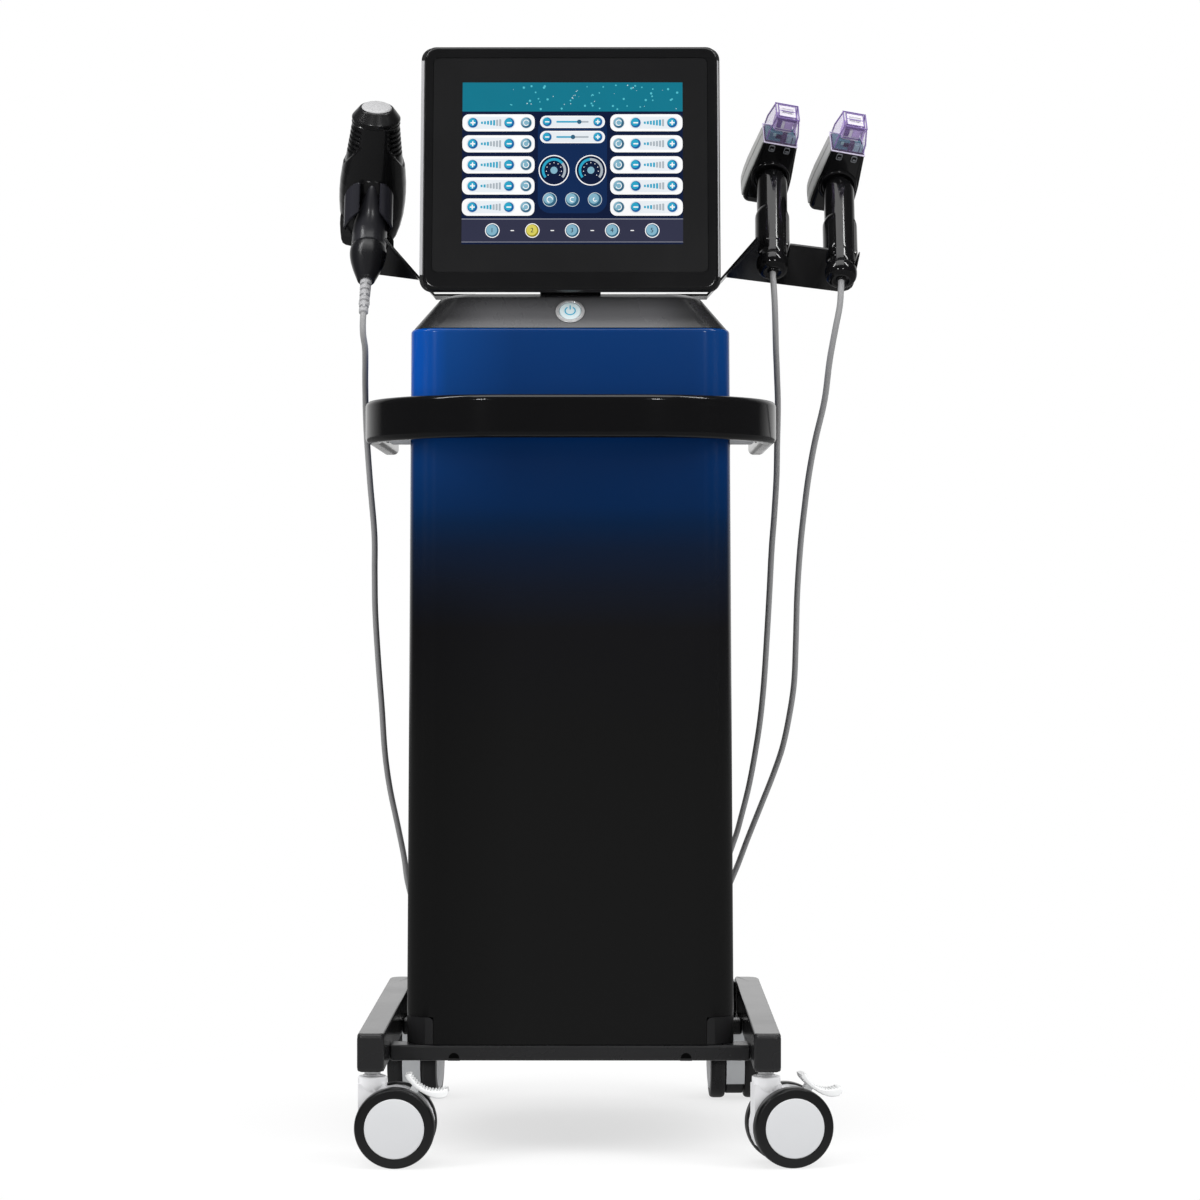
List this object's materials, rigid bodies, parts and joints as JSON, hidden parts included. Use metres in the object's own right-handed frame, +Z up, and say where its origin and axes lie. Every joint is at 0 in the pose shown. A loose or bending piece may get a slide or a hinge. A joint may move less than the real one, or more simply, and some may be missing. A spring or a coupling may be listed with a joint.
{
  "type": "radiofrequency microneedling machine",
  "caption": "Floor-standing radiofrequency skin treatment machine on casters, with a tilting touch screen, push handle, microneedling handpieces and a cooling handpiece.",
  "frame": {"origin": "middle of the footprint on the floor", "axes": "+Z up, -Y towards the side with the screen, +X towards the side with two handpieces"},
  "size_m": [0.5169, 0.486, 1.0581],
  "materials": {
    "frame_paint": "gloss black powder coat",
    "body_blue": "gloss, blue at the top and fading to black below",
    "housing_black": "satin black",
    "deck_grey": "gloss dark grey",
    "handle_black": "gloss black",
    "display_black": "gloss black",
    "display_glass": "clear gloss over a dark screen",
    "button_white": "satin white",
    "bright_metal": "polished",
    "handpiece_black": "gloss black",
    "cartridge_lilac": "clear, tinted lilac",
    "carrier_white": "satin white",
    "steel": "brushed",
    "board_green": "solder mask",
    "caster_grey": "satin pale grey",
    "wheel_black": "black tread on a pale grey hub",
    "cord_grey": "satin grey"
  },
  "bodies": {
    "machine": {"base_tray": "housing_black", "cooling_barrel": "handpiece_black", "cooling_cord": "cord_grey", "cooling_grip": "handpiece_black", "cooling_plug": "housing_black", "cooling_strain_relief": "cord_grey", "cooling_tail": "handpiece_black", "cooling_tip": "bright_metal", "display_hinge_pin": "steel", "display_neck": "frame_paint", "front_crossbar": "frame_paint", "front_left_caster_stem": "bright_metal", "front_right_caster_stem": "bright_metal", "front_shell": "body_blue", "left_handle_bracket": "frame_paint", "left_holder": "frame_paint", "left_leg": "frame_paint", "mains_inlet": "housing_black", "middle_crossbar": "frame_paint", "power_button_ring": "bright_metal", "power_supply": "steel", "push_handle": "handle_black", "rear_cover": "housing_black", "rear_crossbar": "frame_paint", "rear_left_caster_stem": "bright_metal", "rear_right_caster_stem": "bright_metal", "rf_cord_a": "cord_grey", "rf_cord_b": "cord_grey", "rf_generator_board": "board_green", "rf_grip_a": "handpiece_black", "rf_grip_b": "handpiece_black", "rf_head_a": "handpiece_black", "rf_head_b": "handpiece_black", "rf_plug_a": "housing_black", "rf_plug_b": "housing_black", "right_handle_bracket": "frame_paint", "right_holder": "frame_paint", "right_leg": "frame_paint", "socket_plate": "housing_black", "top_cover": "deck_grey"},
    "display": {"display_housing": "display_black", "display_bezel": "display_black", "display_panel": "display_glass"},
    "power_button_cap": {"power_button": "button_white"},
    "cartridge_a": {"rf_cartridge_a": "cartridge_lilac"},
    "cartridge_b": {"rf_cartridge_b": "cartridge_lilac"},
    "needles_a": {"rf_needle_carrier_a": "carrier_white"},
    "needles_b": {"rf_needle_carrier_b": "carrier_white"},
    "fan": {"fan_rotor": "housing_black"},
    "rocker": {"mains_rocker": "housing_black"},
    "front_left_caster": {"front_left_caster_housing": "caster_grey"},
    "front_left_caster_wheelset": {"front_left_caster_wheels": "wheel_black"},
    "front_left_caster_lever": {"front_left_caster_brake_lever": "caster_grey"},
    "front_right_caster": {"front_right_caster_housing": "caster_grey"},
    "front_right_caster_wheelset": {"front_right_caster_wheels": "wheel_black"},
    "front_right_caster_lever": {"front_right_caster_brake_lever": "caster_grey"},
    "rear_left_caster": {"rear_left_caster_housing": "caster_grey"},
    "rear_left_caster_wheelset": {"rear_left_caster_wheels": "wheel_black"},
    "rear_right_caster": {"rear_right_caster_housing": "caster_grey"},
    "rear_right_caster_wheelset": {"rear_right_caster_wheels": "wheel_black"}
  },
  "joints": [
    {"name": "display_tilt", "type": "hinge", "parent": "machine", "child": "display", "pos_m": [-0.0318, -0.115, 0.85], "axis": [-1, 0, 0], "range_deg": [-10, 15]},
    {"name": "power_button_press", "type": "slide", "parent": "machine", "child": "power_button_cap", "axis": [0, 0.821, -0.5709], "range_m": [0, 0.0014], "stiffness_N_per_m": 900, "springref_m": -0.0006},
    {"name": "cartridge_a_pull", "type": "slide", "parent": "machine", "child": "cartridge_a", "axis": [0.2225, -0.6771, 0.7015], "range_m": [0, 0.015]},
    {"name": "cartridge_b_pull", "type": "slide", "parent": "machine", "child": "cartridge_b", "axis": [0.2225, -0.6771, 0.7015], "range_m": [0, 0.015]},
    {"name": "needles_a_stroke", "type": "slide", "parent": "machine", "child": "needles_a", "axis": [0.2225, -0.6771, 0.7015], "range_m": [0, 0.0035]},
    {"name": "needles_b_stroke", "type": "slide", "parent": "machine", "child": "needles_b", "axis": [0.2225, -0.6771, 0.7015], "range_m": [0, 0.0035]},
    {"name": "fan_spin", "type": "hinge", "parent": "machine", "child": "fan", "pos_m": [-0.0318, 0.126, 0.65], "axis": [0, 1, 0], "continuous": true},
    {"name": "mains_switch", "type": "hinge", "parent": "machine", "child": "rocker", "pos_m": [-0.0318, 0.13555, 0.212], "axis": [1, 0, 0], "range_deg": [0, 10]},
    {"name": "front_left_caster_swivel", "type": "hinge", "parent": "machine", "child": "front_left_caster", "pos_m": [-0.2153, -0.213, 0], "axis": [0, 0, 1], "continuous": true},
    {"name": "front_left_caster_roll", "type": "hinge", "parent": "front_left_caster", "child": "front_left_caster_wheelset", "pos_m": [-0.1936, -0.213, 0.0375], "axis": [0, 1, 0], "continuous": true},
    {"name": "front_left_caster_brake", "type": "hinge", "parent": "front_left_caster", "child": "front_left_caster_lever", "pos_m": [-0.17834, -0.213, 0.0662], "axis": [0, 1, 0], "range_deg": [0, 12]},
    {"name": "front_right_caster_swivel", "type": "hinge", "parent": "machine", "child": "front_right_caster", "pos_m": [0.1517, -0.213, 0], "axis": [0, 0, 1], "continuous": true},
    {"name": "front_right_caster_roll", "type": "hinge", "parent": "front_right_caster", "child": "front_right_caster_wheelset", "pos_m": [0.17307, -0.20923, 0.0375], "axis": [-0.1736, 0.9848, 0], "continuous": true},
    {"name": "front_right_caster_brake", "type": "hinge", "parent": "front_right_caster", "child": "front_right_caster_lever", "pos_m": [0.1881, -0.20658, 0.0662], "axis": [-0.1736, 0.9848, 0], "range_deg": [0, 12]},
    {"name": "rear_left_caster_swivel", "type": "hinge", "parent": "machine", "child": "rear_left_caster", "pos_m": [-0.2013, 0.182, 0], "axis": [0, 0, 1], "continuous": true},
    {"name": "rear_left_caster_roll", "type": "hinge", "parent": "rear_left_caster", "child": "rear_left_caster_wheelset", "pos_m": [-0.19941, 0.20362, 0.0375], "axis": [-0.9962, 0.0872, 0], "continuous": true},
    {"name": "rear_right_caster_swivel", "type": "hinge", "parent": "machine", "child": "rear_right_caster", "pos_m": [0.1377, 0.182, 0], "axis": [0, 0, 1], "continuous": true},
    {"name": "rear_right_caster_roll", "type": "hinge", "parent": "rear_right_caster", "child": "rear_right_caster_wheelset", "pos_m": [0.13694, 0.20369, 0.0375], "axis": [-0.9994, -0.0349, 0], "continuous": true}
  ]
}
